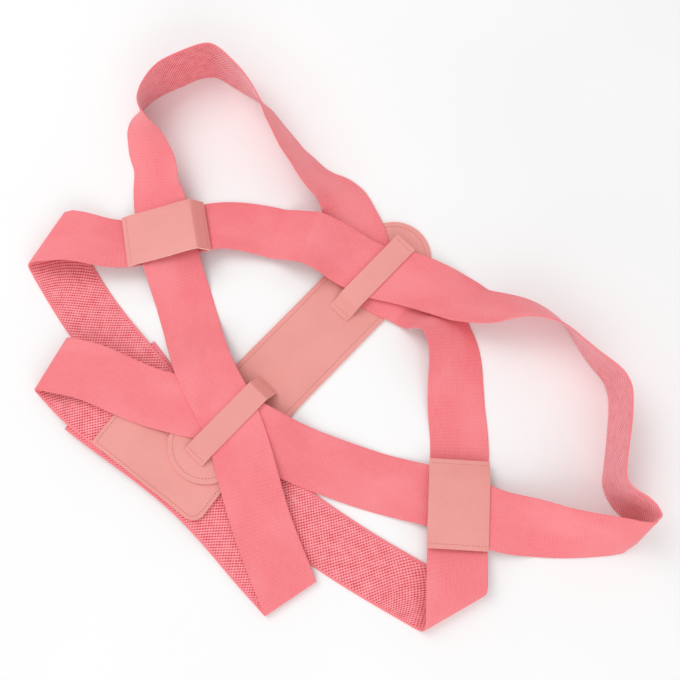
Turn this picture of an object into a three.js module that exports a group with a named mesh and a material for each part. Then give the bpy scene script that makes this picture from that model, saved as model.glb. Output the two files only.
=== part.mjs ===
// A posture corrector lying folded on a surface: two elastic straps that cross on a
// soft back panel, with leather keepers, slider patches and hook tabs.
// Millimetres, +Z up. The origin is the middle of its footprint, on the surface.
import * as THREE from 'three';

// Driving dimensions of the pieces
const strapWidth = 50;
const strapThickness = 1.4;
const clearance = 0.3;
const panelLength = 300;
const panelWidth = 66;
const panelThickness = 2.4;
const keeperInset = 62;
const keeperWidth = 21;
const crossingShift = 7;
const leatherThickness = 1.5;
const seamAllowance = 12;
const patchOverhang = 0.5;
const tabLength = 114;
const tabWidth = 47;
const tabCornerRadius = 11;
const tuckLength = 12;

// Driving dimensions of the way it lies
const layoutSpan = 520;
const panelBearing = 46.3;
// Crossed straps spread along a keeper over this share of their width
const crossingShare = 1.28;
const ringStep = 7;
const trimStep = 3.5;
const foldSteps = 8;
const cornerSteps = 4;

// Heights settle over these lengths
const strapEase = 16;
const panelEase = 26;
const trimEase = 5;
const foldEase = 1.7 * strapWidth;
const skewEase = 1.2 * strapWidth;

const pink = { color: '#f9878d', roughness: 0.85, metalness: 0 };
const blush = { color: '#eba199', roughness: 0.6, metalness: 0 };

const radians = THREE.MathUtils.degToRad;
const smooth = (x) => THREE.MathUtils.smoothstep(x, 0, 1);
const bearing = (degrees) => new THREE.Vector2(Math.cos(radians(degrees)), Math.sin(radians(degrees)));
const leftOf = (v) => new THREE.Vector2(-v.y, v.x);

const panelAxis = bearing(panelBearing);
const keeperReach = panelLength / 2 - keeperInset;
const spot = (x, y) => new THREE.Vector2(x * layoutSpan, y * layoutSpan);

// Where the straps cross, fold and end: from the panel's middle, as shares of the span
const places = {
  upperKeeper: panelAxis.clone().multiplyScalar(keeperReach + crossingShift),
  crossUpperKeeper: panelAxis.clone().multiplyScalar(keeperReach),
  lowerKeeper: panelAxis.clone().multiplyScalar(-keeperReach),
  leftSlider: spot(-0.236, 0.197),
  rightSlider: spot(0.252, -0.257),
  waistTabStart: spot(-0.298, -0.136),
  waistFold: spot(-0.419, -0.029),
  chestFold: spot(-0.443, 0.188),
  chestTabStart: spot(-0.241, -0.084),
  plainWaistEnd: spot(-0.363, -0.097),
  plainWaistFold: spot(-0.017, -0.403),
  lowerFold: spot(0.24, -0.425),
  plainChestEnd: spot(-0.29, -0.016),
};

// Folds: radius as a share of the strap's width
const foldRadius = {
  waistFold: 0.1,
  chestFold: 0.14,
  plainWaistFold: 0.045,
  lowerFold: 0.11,
};

// A strap's route between two places. along and off are shares of the distance between
// them, off to the left. tip rolls the strap, in degrees, right edge up, and lead is how far
// its left edge is ahead of the right, as a share of its width. Flat and level are left out.
const legs = {
  waistTabStart: { to: 'waistFold', rows: [{ along: 0.55, off: 0.035 }] },
  waistFold: {
    to: 'lowerKeeper',
    rows: [
      { along: 0.19, off: 0.022 },
      { along: 0.52, off: -0.007 },
    ],
  },
  lowerKeeper: {
    to: 'rightSlider',
    rows: [
      { along: 0.27, off: -0.03 },
      { along: 0.62, off: -0.032 },
    ],
  },
  // It rolls up on its right edge, turns back on itself and comes down again
  rightSlider: {
    to: 'upperKeeper',
    rows: [
      { along: -0.11, off: -0.13, tip: -4 },
      { along: -0.187, off: -0.27, tip: -22 },
      { along: -0.215, off: -0.322, tip: -31, lead: -0.05 },
      { along: -0.241, off: -0.377, tip: -38, lead: -0.08 },
      { along: -0.266, off: -0.437, tip: -44, lead: -0.09 },
      { along: -0.29, off: -0.499, tip: -50, lead: -0.06 },
      { along: -0.311, off: -0.551, tip: -55, lead: 0.04 },
      { along: -0.323, off: -0.585, tip: -61, lead: 0.17 },
      { along: -0.325, off: -0.611, tip: -69, lead: 0.28 },
      { along: -0.315, off: -0.644, tip: -80, lead: 0.32 },
      { along: -0.294, off: -0.661, tip: -92, lead: 0.28 },
      { along: -0.271, off: -0.661, tip: -101, lead: 0.17 },
      { along: -0.248, off: -0.652, tip: -106, lead: 0.07 },
      { along: -0.225, off: -0.637, tip: -109, lead: 0.03 },
      { along: -0.196, off: -0.619, tip: -108, lead: 0.02 },
      { along: -0.169, off: -0.603, tip: -104, lead: 0.04 },
      { along: -0.139, off: -0.593, tip: -100, lead: 0.07 },
      { along: -0.1, off: -0.593, tip: -96, lead: 0.08 },
      { along: -0.051, off: -0.615, tip: -94, lead: 0.05 },
      { along: 0.017, off: -0.651, tip: -94, lead: 0.02 },
      { along: 0.087, off: -0.688, tip: -95 },
      { along: 0.157, off: -0.721, tip: -95, lead: -0.04 },
      { along: 0.224, off: -0.743, tip: -95, lead: -0.05 },
      { along: 0.281, off: -0.741, tip: -93, lead: -0.07 },
      { along: 0.337, off: -0.717, tip: -90, lead: -0.07 },
      { along: 0.386, off: -0.694, tip: -86, lead: -0.07 },
      { along: 0.444, off: -0.672, tip: -81, lead: -0.09 },
      { along: 0.567, off: -0.62, tip: -69, lead: -0.04 },
      { along: 0.619, off: -0.572, tip: -63 },
      { along: 0.66, off: -0.514, tip: -57 },
      { along: 0.688, off: -0.449, tip: -50 },
      { along: 0.715, off: -0.373, tip: -39 },
      { along: 0.775, off: -0.295, tip: -22 },
      { along: 0.855, off: -0.207, tip: -8 },
      { along: 0.93, off: -0.11 },
    ],
  },
  upperKeeper: {
    to: 'leftSlider',
    tipAtEnd: -12,
    rows: [
      { along: 0.3, off: -0.08, tip: -3 },
      { along: 0.52, off: -0.108, tip: -8 },
      { along: 0.74, off: -0.1, tip: -15 },
    ],
  },
  leftSlider: {
    to: 'chestFold',
    rows: [
      { along: 0.4, off: 0.06, tip: -15 },
      { along: 0.72, off: 0.01, tip: -14 },
    ],
  },
  chestFold: { to: 'chestTabStart', rows: [{ along: 0.42, off: -0.036 }] },

  plainWaistEnd: {
    to: 'plainWaistFold',
    rows: [
      { along: 0.55, off: 0.043 },
      { along: 0.84, off: 0.014 },
    ],
  },
  plainWaistFold: { to: 'crossLowerKeeper', rows: [{ along: 0.35, off: 0.018 }] },
  crossLowerKeeper: {
    to: 'crossLeftSlider',
    rows: [
      { along: 0.28, off: 0.034 },
      { along: 0.66, off: 0.03 },
    ],
  },
  crossLeftSlider: {
    to: 'crossUpperKeeper',
    rows: [
      { along: -0.076, off: 0.161, tip: 16, lead: 0.14 },
      { along: -0.104, off: 0.225, tip: 26, lead: 0.27 },
      { along: -0.133, off: 0.309, tip: 33, lead: 0.4 },
      { along: -0.178, off: 0.39, tip: 38, lead: 0.51 },
      { along: -0.209, off: 0.444, tip: 47, lead: 0.57 },
      { along: -0.233, off: 0.483, tip: 55, lead: 0.56 },
      { along: -0.249, off: 0.519, tip: 62, lead: 0.49 },
      { along: -0.258, off: 0.567, tip: 75, lead: 0.37 },
      { along: -0.258, off: 0.604, tip: 81, lead: 0.32 },
      { along: -0.25, off: 0.638, tip: 83, lead: 0.28 },
      { along: -0.231, off: 0.681, tip: 86, lead: 0.23 },
      { along: -0.207, off: 0.72, tip: 90, lead: 0.19 },
      { along: -0.176, off: 0.759, tip: 93, lead: 0.14 },
      { along: -0.138, off: 0.793, tip: 94, lead: 0.09 },
      { along: -0.098, off: 0.825, tip: 94, lead: 0.04 },
      { along: -0.053, off: 0.857, tip: 94, lead: -0.03 },
      { along: -0.013, off: 0.878, tip: 96, lead: -0.06 },
      { along: 0.023, off: 0.886, tip: 97 },
      { along: 0.075, off: 0.871, tip: 96, lead: 0.05 },
      { along: 0.135, off: 0.84, tip: 93, lead: 0.02 },
      { along: 0.194, off: 0.807, tip: 89, lead: -0.05 },
      { along: 0.247, off: 0.77, tip: 84, lead: -0.18 },
      { along: 0.29, off: 0.735, tip: 79, lead: -0.3 },
      { along: 0.326, off: 0.703, tip: 74, lead: -0.37 },
      { along: 0.361, off: 0.666, tip: 70, lead: -0.39 },
      { along: 0.404, off: 0.621, tip: 67, lead: -0.33 },
      { along: 0.453, off: 0.572, tip: 63, lead: -0.24 },
      { along: 0.51, off: 0.517, tip: 59, lead: -0.16 },
      { along: 0.562, off: 0.478, tip: 55, lead: -0.1 },
      { along: 0.619, off: 0.433, tip: 50, lead: -0.02 },
      { along: 0.678, off: 0.4, tip: 43, lead: 0.08 },
      { along: 0.735, off: 0.379, tip: 35, lead: 0.12 },
      { along: 0.787, off: 0.343, tip: 24, lead: 0.06 },
      { along: 0.838, off: 0.275, tip: 13, lead: 0.1 },
      { along: 0.895, off: 0.19, tip: 4, lead: 0.12 },
    ],
  },
  crossUpperKeeper: {
    to: 'crossRightSlider',
    rows: [
      { along: 0.165, off: 0.133, lead: 0.12 },
      { along: 0.228, off: 0.172, tip: 12, lead: 0.24 },
      { along: 0.265, off: 0.192, tip: 27, lead: 0.36 },
      { along: 0.301, off: 0.208, tip: 31, lead: 0.32 },
      { along: 0.342, off: 0.213, tip: 29, lead: 0.19 },
      { along: 0.389, off: 0.212, tip: 25, lead: 0.06 },
      { along: 0.448, off: 0.2, tip: 19, lead: -0.04 },
      { along: 0.531, off: 0.172, tip: 12, lead: -0.04 },
      { along: 0.618, off: 0.142, tip: 5 },
      { along: 0.759, off: 0.102 },
    ],
  },
  crossRightSlider: { to: 'lowerFold', rows: [] },
  lowerFold: {
    to: 'plainChestEnd',
    rows: [
      { along: 0.3, off: 0.045 },
      { along: 0.5, off: 0.055 },
      { along: 0.85, off: 0.036 },
    ],
  },
};
places.crossLowerKeeper = places.lowerKeeper;
places.crossLeftSlider = places.leftSlider;
places.crossRightSlider = places.rightSlider;

// A point of a leg's table, in the plane
function tablePoint(from, to, row) {
  const chord = to.clone().sub(from);
  return from.clone().addScaledVector(chord, row.along).addScaledVector(leftOf(chord), row.off);
}

// One stretch of strap between two folds or ends, as a list of plan points with roll
function runPoints(start, stops, startTip, endTip) {
  const points = [{ at: places[start].clone(), tip: startTip, lead: 0, place: start }];
  let from = start;
  for (const stop of stops) {
    const leg = legs[from];
    for (const row of leg.rows) {
      const at = tablePoint(places[from], places[stop], row);
      points.push({ at, tip: row.tip ?? endTip, lead: row.lead ?? 0 });
    }
    points.push({ at: places[stop].clone(), tip: leg.tipAtEnd ?? endTip, lead: 0, place: stop });
    from = stop;
  }
  return points;
}

// Tangent of a smooth curve through values at uneven distances
function slopes(values, distances) {
  return values.map((value, i) => {
    if (i === 0 || i === values.length - 1) {
      const j = i === 0 ? 0 : i - 1;
      return (values[j + 1] - values[j]) / (distances[j + 1] - distances[j]);
    }
    const before = distances[i] - distances[i - 1];
    const after = distances[i + 1] - distances[i];
    const slopeBefore = (value - values[i - 1]) / before;
    const slopeAfter = (values[i + 1] - value) / after;
    return (slopeBefore * after + slopeAfter * before) / (before + after);
  });
}

function hermite(values, tangents, distances, i, u) {
  const span = distances[i + 1] - distances[i];
  const u2 = u * u;
  const u3 = u2 * u;
  return (2 * u3 - 3 * u2 + 1) * values[i] + (u3 - 2 * u2 + u) * span * tangents[i]
    + (3 * u2 - 2 * u3) * values[i + 1] + (u3 - u2) * span * tangents[i + 1];
}

// Plan rings along a run: place, heading, roll and distance
function sampleRun(points) {
  const distances = [0];
  for (let i = 1; i < points.length; i += 1) {
    distances.push(distances[i - 1] + points[i].at.distanceTo(points[i - 1].at));
  }
  const values = [(p) => p.at.x, (p) => p.at.y, (p) => p.tip, (p) => p.lead];
  const columns = values.map((read) => points.map(read));
  const tangents = columns.map((column) => slopes(column, distances));
  const rings = [];
  for (let i = 0; i < points.length - 1; i += 1) {
    const steps = Math.max(1, Math.ceil((distances[i + 1] - distances[i]) / ringStep));
    for (let k = i === 0 ? 0 : 1; k <= steps; k += 1) {
      const [x, y, tip, lead] = columns
        .map((column, c) => hermite(column, tangents[c], distances, i, k / steps));
      const place = k === steps ? points[i + 1].place : undefined;
      rings.push({ at: new THREE.Vector2(x, y), tip, lead, place: k === 0 ? points[0].place : place });
    }
  }
  addHeadings(rings);
  return rings;
}

function addHeadings(rings) {
  let walked = 0;
  rings.forEach((ring, i) => {
    const before = rings[Math.max(0, i - 1)];
    const after = rings[Math.min(rings.length - 1, i + 1)];
    const heading = after.at.clone().sub(before.at).normalize();
    walked += i === 0 ? 0 : ring.at.distanceTo(before.at);
    ring.heading = heading;
    ring.distance = walked;
    ring.skew = 0;
  });
}

// The ruling runs from the strap's left edge to its right edge
function setRuling(ring, width) {
  const roll = radians(ring.tip);
  const plan = leftOf(ring.heading).negate().rotateAround(new THREE.Vector2(), ring.skew)
    .multiplyScalar((width * Math.cos(roll)) / Math.cos(ring.skew))
    .addScaledVector(ring.heading, -width * ring.lead);
  ring.ruling = new THREE.Vector3(plan.x, plan.y, width * Math.sin(roll));
}

// Turns the rulings near one ring so that they lie along a line there
function skewTowards(rings, centre, line) {
  const right = leftOf(centre.heading).negate();
  const wanted = right.dot(line) < 0 ? line.clone().negate() : line;
  const skew = Math.atan2(right.cross(wanted), right.dot(wanted));
  for (const ring of rings) {
    ring.skew += skew * (1 - smooth(Math.abs(ring.distance - centre.distance) / skewEase));
  }
}

// A fold joins the end of one run to the start of the next, turned over along a crease
function planFold(place, before, after) {
  const arriving = before.at(-1).heading;
  const leaving = after[0].heading;
  const crease = arriving.clone().add(leaving).normalize();
  const outward = arriving.clone().sub(leaving).normalize();
  const radius = foldRadius[place] * strapWidth;
  const sine = arriving.dot(outward);
  const drift = crease.clone().multiplyScalar((Math.PI * radius * arriving.dot(crease)) / (2 * sine));
  const axis = places[place].clone().addScaledVector(outward, -radius);
  return { crease, outward, radius, drift, axis };
}

// Heights of what already lies on the surface, in square cells
const cell = 2;
const cellsAcross = 2 * Math.ceil((0.75 * layoutSpan + strapWidth) / cell);
const heights = new Float32Array(cellsAcross * cellsAcross);
const column = (v) => THREE.MathUtils.clamp(Math.floor(v / cell + cellsAcross / 2), 1, cellsAcross - 2);

function support(x, y) {
  const i = column(x);
  const j = column(y);
  let top = 0;
  for (let di = -1; di <= 1; di += 1) {
    for (let dj = -1; dj <= 1; dj += 1) {
      top = Math.max(top, heights[(i + di) * cellsAcross + j + dj]);
    }
  }
  return top;
}

// Nothing lies across a strap where it stands upright
const uprightFrom = 0.9;
const stands = (ring) => Math.abs(ring.ruling.z) > uprightFrom * ring.ruling.length();

function layDown(rings) {
  const along = Math.ceil((2 * ringStep) / cell);
  for (let k = 0; k < rings.length - 1; k += 1) {
    const [first, second] = [rings[k], rings[k + 1]];
    if (stands(first) || stands(second)) {
      continue;
    }
    const across = Math.ceil((1.5 * Math.max(first.ruling.length(), second.ruling.length())) / cell);
    for (let i = 0; i <= along; i += 1) {
      const centre = first.centre.clone().lerp(second.centre, i / along);
      const ruling = first.ruling.clone().lerp(second.ruling, i / along);
      for (let j = 0; j <= across; j += 1) {
        const point = centre.clone().addScaledVector(ruling, j / across - 0.5);
        const index = column(point.x) * cellsAcross + column(point.y);
        heights[index] = Math.max(heights[index], point.z + first.thickness / 2);
      }
    }
  }
}

// Lowest height of a ring's underside at which it clears what lies under it
function restingHeight(ring) {
  const lean = Math.abs(ring.ruling.z) / 2;
  const samples = 10;
  let low = 0;
  for (let k = 0; k <= samples; k += 1) {
    const share = k / samples - 0.5;
    const under = support(ring.at.x + ring.ruling.x * share, ring.at.y + ring.ruling.y * share);
    if (under > 0) {
      low = Math.max(low, under + clearance - ring.ruling.z * share - lean);
    }
  }
  return low;
}

// Sets each ring's centre so that the ribbon eases over what lies under it
function drape(rings, ease) {
  const needed = rings.map(restingHeight);
  const near = (ring) => rings.map((other, j) => j)
    .filter((j) => Math.abs(rings[j].distance - ring.distance) <= ease);
  const widened = rings.map((ring) => Math.max(...near(ring).map((j) => needed[j])));
  for (const ring of rings) {
    const window = near(ring);
    const low = window.reduce((sum, j) => sum + widened[j], 0) / window.length;
    const flat = Math.hypot(ring.ruling.x, ring.ruling.y) / ring.ruling.length();
    const height = low + (ring.thickness / 2) * flat + Math.abs(ring.ruling.z) / 2;
    ring.centre = new THREE.Vector3(ring.at.x, ring.at.y, height);
  }
}

// Lifts a run towards a fold end, which lies on top of the fold's lower run
function liftToFold(rings, end, lowerEnd, radius) {
  const lift = Math.max(0, lowerEnd.centre.z + 2 * radius - end.centre.z);
  for (const ring of rings) {
    ring.centre.z += lift * (1 - smooth(Math.abs(ring.distance - end.distance) / foldEase));
  }
}

// The rings of a fold's turn, from the end of one run to the start of the next
function foldRings(fold, from, to) {
  const middle = (from.centre.z + to.centre.z) / 2;
  const reach = (from.centre.z - to.centre.z) / 2;
  const rings = [];
  for (let k = 1; k < foldSteps; k += 1) {
    const turn = (Math.PI * k) / foldSteps;
    const plan = fold.axis.clone().addScaledVector(fold.outward, fold.radius * Math.sin(turn))
      .addScaledVector(fold.drift, (2 * turn) / Math.PI - 1);
    rings.push({
      centre: new THREE.Vector3(plan.x, plan.y, middle + reach * Math.cos(turn)),
      ruling: from.ruling.clone(),
      thickness: strapThickness,
      fold: true,
    });
  }
  return rings;
}

// A strap is a row of runs with a fold between each two
class Strap {
  constructor(runs) {
    this.folds = runs.slice(1).map((run) => run.start);
    this.plans = runs.map((run) => runPoints(run.start, run.stops, run.startTip ?? 0, run.endTip ?? 0));
    this.plans.forEach((points, i) => this.shiftToFolds(points, i));
    this.runs = this.plans.map(sampleRun);
    this.turns = this.folds.map((place, i) => planFold(place, this.runs[i], this.runs[i + 1]));
    this.runs.forEach((rings, i) => this.rule(rings, i));
  }

  // Run ends at a fold stop on the fold's axis, short of the crease's outer edge
  shiftToFolds(points, i) {
    const headingOut = (p, q) => q.at.clone().sub(p.at).normalize();
    const provisional = (k) => {
      const before = this.plans[k];
      const after = this.plans[k + 1];
      const arriving = { heading: headingOut(before.at(-2), before.at(-1)) };
      const leaving = { heading: headingOut(after[0], after[1]) };
      return planFold(this.folds[k], [arriving], [leaving]);
    };
    if (i < this.folds.length) {
      const fold = provisional(i);
      points.at(-1).fixed = fold.axis.clone().sub(fold.drift);
    }
    if (i > 0) {
      const fold = provisional(i - 1);
      points[0].fixed = fold.axis.clone().add(fold.drift);
    }
    if (i === this.plans.length - 1) {
      this.plans.flat().filter((point) => point.fixed).forEach((point) => point.at.copy(point.fixed));
    }
  }

  rule(rings, i) {
    if (i > 0) {
      skewTowards(rings, rings[0], this.turns[i - 1].crease);
    }
    if (i < this.turns.length) {
      skewTowards(rings, rings.at(-1), this.turns[i].crease);
    }
    for (const ring of rings.filter((r) => r.place?.endsWith('Keeper'))) {
      skewTowards(rings, ring, panelAxis);
    }
    for (const ring of rings) {
      ring.thickness = strapThickness;
      setRuling(ring, strapWidth);
    }
  }

  // Rings of one run between two places, both included
  part(run, from, to) {
    const rings = this.runs[run];
    const first = from ? rings.findIndex((r) => r.place === from || r === from) : 0;
    const last = to ? rings.findIndex((r) => r.place === to || r === to) : rings.length - 1;
    return rings.slice(first, last + 1);
  }

  settle(run, from, to, onward = []) {
    const rings = this.part(run, from, to);
    drape([...rings, ...onward], strapEase);
    for (const k of [run - 1, run]) {
      this.joinFold(k, rings);
    }
    layDown(rings);
    layDown(onward);
  }

  // The fold after run k is closed once both of its runs lie down
  joinFold(k, rings) {
    const turn = this.turns[k];
    const ends = turn && [this.runs[k].at(-1), this.runs[k + 1][0]];
    if (!turn || turn.rings || !ends.every((end) => end.centre) || !ends.some((end) => rings.includes(end))) {
      return;
    }
    const mine = rings.includes(ends[0]) ? ends[0] : ends[1];
    const other = mine === ends[0] ? ends[1] : ends[0];
    liftToFold(rings, mine, other, turn.radius);
    turn.rings = foldRings(turn, ends[0], ends[1]);
    layDown([ends[0], ...turn.rings, ends[1]]);
  }

  // The whole strap, end to end
  all() {
    return this.runs.flatMap((rings, i) => [...rings, ...(this.turns[i]?.rings ?? [])]);
  }
}

// Offset rings of a cut: a strap's length stops half a clearance short of the cut
function cutRing(ring, neighbour) {
  const step = neighbour.centre.distanceTo(ring.centre);
  const share = clearance / 2 / step;
  return {
    centre: ring.centre.clone().lerp(neighbour.centre, share),
    ruling: ring.ruling.clone().lerp(neighbour.ruling, share),
    thickness: ring.thickness,
  };
}

// A closed ribbon: four corners at each ring, its rulings from left to right
function ribbon(rings) {
  const positions = [];
  rings.forEach((ring, i) => {
    const before = rings[Math.max(0, i - 1)].centre;
    const after = rings[Math.min(rings.length - 1, i + 1)].centre;
    const normal = ring.ruling.clone().cross(after.clone().sub(before)).normalize();
    const top = ring.top ?? ring.thickness / 2;
    const bottom = ring.bottom ?? -ring.thickness / 2;
    for (const [side, offset] of [[-0.5, top], [0.5, top], [0.5, bottom], [-0.5, bottom]]) {
      const corner = ring.centre.clone().addScaledVector(ring.ruling, side).addScaledVector(normal, offset);
      positions.push(corner.x, corner.y, corner.z);
    }
  });
  const index = [];
  for (let i = 0; i < rings.length - 1; i += 1) {
    for (let k = 0; k < 4; k += 1) {
      const a = 4 * i + k;
      const b = 4 * i + ((k + 1) % 4);
      index.push(a, b, b + 4, a, b + 4, a + 4);
    }
  }
  const last = 4 * (rings.length - 1);
  index.push(0, 2, 1, 0, 3, 2, last, last + 1, last + 2, last, last + 2, last + 3);
  const geometry = new THREE.BufferGeometry();
  geometry.setAttribute('position', new THREE.Float32BufferAttribute(positions, 3));
  geometry.setIndex(index);
  return geometry;
}

// A straight flat strip with its own half widths along its length
function strip(start, heading, stations, thickness, tip = 0) {
  return stations.map(({ distance, width }) => {
    const at = start.clone().addScaledVector(heading, distance);
    const ring = { at, heading, distance, skew: 0, tip, lead: 0, thickness };
    setRuling(ring, width);
    return ring;
  });
}

// Stations of a strip with its corners rounded to a radius at either end
function roundedStations(length, width, startRadius, endRadius, step) {
  const corner = (radius) => {
    const rows = [];
    for (let k = 0; k <= cornerSteps && radius > 0; k += 1) {
      const turn = ((Math.PI / 2) * (k + 0.35)) / (cornerSteps + 0.35);
      rows.push({ inset: radius * (1 - Math.sin(turn)) * 2, distance: radius * (1 - Math.cos(turn)) });
    }
    return radius > 0 ? rows : [{ inset: 0, distance: 0 }];
  };
  const first = corner(startRadius).map((row) => ({ distance: row.distance, width: width - row.inset }));
  const last = corner(endRadius).map((row) => ({ distance: length - row.distance, width: width - row.inset }));
  const from = first.at(-1).distance;
  const to = last.at(-1).distance;
  const count = Math.max(2, Math.round((to - from) / step));
  const middle = Array.from({ length: count - 1 }, (_, k) => ({
    distance: from + ((to - from) * (k + 1)) / count,
    width,
  }));
  return [...first, ...middle, ...last.reverse()];
}

// The two straps. The left one carries the hook tabs, the right one's ends are plain.
// A run that lies face down is rolled half a turn.
const faceDown = 180;
const leftStrap = new Strap([
  { start: 'waistTabStart', stops: ['waistFold'], startTip: faceDown, endTip: faceDown },
  { start: 'waistFold', stops: ['lowerKeeper', 'rightSlider', 'upperKeeper', 'leftSlider', 'chestFold'] },
  { start: 'chestFold', stops: ['chestTabStart'], startTip: faceDown, endTip: faceDown },
]);
const rightStrap = new Strap([
  { start: 'plainWaistEnd', stops: ['plainWaistFold'], startTip: faceDown, endTip: faceDown },
  {
    start: 'plainWaistFold',
    stops: ['crossLowerKeeper', 'crossLeftSlider', 'crossUpperKeeper', 'crossRightSlider', 'lowerFold'],
  },
  { start: 'lowerFold', stops: ['plainChestEnd'], startTip: faceDown, endTip: faceDown },
]);

// A standing loop is laid down in two goes, which meet where it stands highest
const steepest = (rings, from, to) => {
  const part = rings.slice(rings.findIndex((r) => r.place === from), rings.findIndex((r) => r.place === to));
  const upright = part.filter((ring) => Math.abs(Math.sin(radians(ring.tip))) > 0.98);
  return upright[Math.floor(upright.length / 2)];
};
const leftLoopTop = steepest(rightStrap.runs[1], 'crossLeftSlider', 'crossUpperKeeper');
const rightLoopTop = steepest(leftStrap.runs[1], 'rightSlider', 'upperKeeper');

// The hook tab goes on from the end of a reversed run, whose last stretch is tucked under it
function hookTab(end, side) {
  const heading = end.heading.clone().multiplyScalar(side);
  const stations = roundedStations(tabLength, tabWidth, 0, tabCornerRadius, ringStep);
  const stepTop = tuckLength + clearance;
  stations.push({ distance: tuckLength, width: tabWidth }, { distance: stepTop, width: tabWidth });
  stations.sort((a, b) => a.distance - b.distance);
  const thickness = strapThickness + clearance + leatherThickness;
  const start = end.at.clone().addScaledVector(heading, -tuckLength);
  const rings = strip(start, heading, stations, thickness);
  for (const ring of rings) {
    ring.bottom = ring.distance <= tuckLength ? thickness / 2 - leatherThickness : -thickness / 2;
    ring.distance = end.distance + side * (ring.distance - tuckLength);
  }
  return rings;
}

// Lying order, from the surface up
rightStrap.settle(2);
const chestTab = hookTab(leftStrap.runs[2].at(-1), 1);
leftStrap.settle(2, null, null, chestTab);
rightStrap.settle(0);
const waistTab = hookTab(leftStrap.runs[0][0], -1);
leftStrap.settle(0, null, null, waistTab);

const panelStart = panelAxis.clone().multiplyScalar(-panelLength / 2);
const panelStations = roundedStations(panelLength, panelWidth, panelWidth / 2, panelWidth / 2, 2 * ringStep);
const panel = strip(panelStart, panelAxis, panelStations, panelThickness);
drape(panel, panelEase);
layDown(panel);

rightStrap.settle(1, leftLoopTop, 'lowerFold');
leftStrap.settle(1, null, rightLoopTop);
leftStrap.settle(1, rightLoopTop, 'chestFold');
rightStrap.settle(1, null, leftLoopTop);

// Slider patches are sewn to one strap across the other, which runs between them
function patch(strap, run, place) {
  const ring = strap.runs[run].find((r) => r.place === place);
  const length = strapWidth + 2 * seamAllowance;
  const stations = roundedStations(length, strapWidth + 2 * patchOverhang, 0, 0, trimStep);
  const start = ring.at.clone().addScaledVector(ring.heading, -length / 2);
  const rings = strip(start, ring.heading, stations, leatherThickness, ring.tip);
  drape(rings, trimEase);
  return rings;
}

function keeper(side) {
  const length = crossingShare * strapWidth + 2 * seamAllowance;
  const stations = roundedStations(length, keeperWidth, 0, 0, trimStep);
  const start = panelAxis.clone().multiplyScalar(side * keeperReach - length / 2);
  const rings = strip(start, panelAxis, stations, leatherThickness);
  drape(rings, trimEase);
  return rings;
}

// Lengths of strap between hidden cuts, each given by the places at its ends
function lengths(strap, names, cuts) {
  const rings = strap.all();
  const at = cuts.map((place) => rings.findIndex((ring) => ring.place === place));
  return names.map((name, i) => {
    const first = i === 0 ? 0 : at[i - 1];
    const last = i === cuts.length ? rings.length - 1 : at[i];
    const part = rings.slice(first, last + 1);
    if (i > 0) {
      part[0] = cutRing(part[0], part[1]);
    }
    if (i < cuts.length) {
      part[part.length - 1] = cutRing(part.at(-1), part.at(-2));
    }
    return [name, part, pink];
  });
}

const pieces = [
  ...lengths(leftStrap, [
    'left_strap_waist', 'left_strap_slide', 'left_strap_loop', 'left_strap_shoulder', 'left_strap_chest',
  ], ['lowerKeeper', 'rightSlider', 'upperKeeper', 'leftSlider']),
  ...lengths(rightStrap, [
    'right_strap_waist', 'right_strap_slide', 'right_strap_loop', 'right_strap_shoulder', 'right_strap_chest',
  ], ['crossLowerKeeper', 'crossLeftSlider', 'crossUpperKeeper', 'crossRightSlider']),
  ['back_panel', panel, blush],
  ['waist_tab', waistTab, blush],
  ['chest_tab', chestTab, blush],
  ['left_slider', patch(leftStrap, 1, 'leftSlider'), blush],
  ['right_slider', patch(rightStrap, 1, 'crossRightSlider'), blush],
  ['upper_keeper', keeper(1), blush],
  ['lower_keeper', keeper(-1), blush],
];

const group = new THREE.Group();
group.name = 'posture_corrector';
for (const [name, rings, finish] of pieces) {
  const mesh = new THREE.Mesh(ribbon(rings), new THREE.MeshStandardMaterial(finish));
  mesh.name = name;
  group.add(mesh);
}

// The origin is under the middle of the whole, on the surface
const bounds = new THREE.Box3().setFromObject(group);
const middle = bounds.getCenter(new THREE.Vector3());
for (const mesh of group.children) {
  mesh.geometry.translate(-middle.x, -middle.y, -bounds.min.z);
}

export default group;
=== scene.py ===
"""Visual model of a posture corrector that lies folded on a table.

Two elastic straps cross under leather keepers on a soft back panel, run through slider
patches and end in closing tabs. Lengths are in metres, and small sizes are given in
millimetres times MM.
"""
import itertools
import logging
import math
from collections.abc import Callable, Sequence
from dataclasses import dataclass, field
from enum import Enum

import bpy
import numpy as np
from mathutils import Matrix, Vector


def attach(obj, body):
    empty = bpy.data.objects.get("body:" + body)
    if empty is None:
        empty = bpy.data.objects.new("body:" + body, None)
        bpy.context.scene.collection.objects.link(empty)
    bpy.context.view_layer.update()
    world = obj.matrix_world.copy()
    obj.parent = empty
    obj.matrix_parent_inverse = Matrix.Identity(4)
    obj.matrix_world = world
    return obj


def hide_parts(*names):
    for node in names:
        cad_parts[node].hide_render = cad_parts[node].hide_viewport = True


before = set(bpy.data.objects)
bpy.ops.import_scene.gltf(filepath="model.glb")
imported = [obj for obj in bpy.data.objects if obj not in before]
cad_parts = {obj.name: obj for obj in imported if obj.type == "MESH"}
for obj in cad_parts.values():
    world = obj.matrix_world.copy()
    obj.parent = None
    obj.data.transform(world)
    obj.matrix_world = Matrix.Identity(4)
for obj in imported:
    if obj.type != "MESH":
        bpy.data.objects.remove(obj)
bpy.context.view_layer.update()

MM = 0.001
# Packed corners that are closer than this are one corner
SAME_CORNER = MM / 1000
# No vector is divided by a length below this
SHORTEST = 1e-12
# Vertices of a flat piece that are nearer to its top than this belong to it
TOP_REACH = 0.01 * MM
# A seam turns a corner on at least this radius
SHARPEST_TURN = 0.2 * MM
# Faces that meet at a greater angle keep a sharp edge between them
SMOOTH_ANGLE = math.radians(40)

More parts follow.
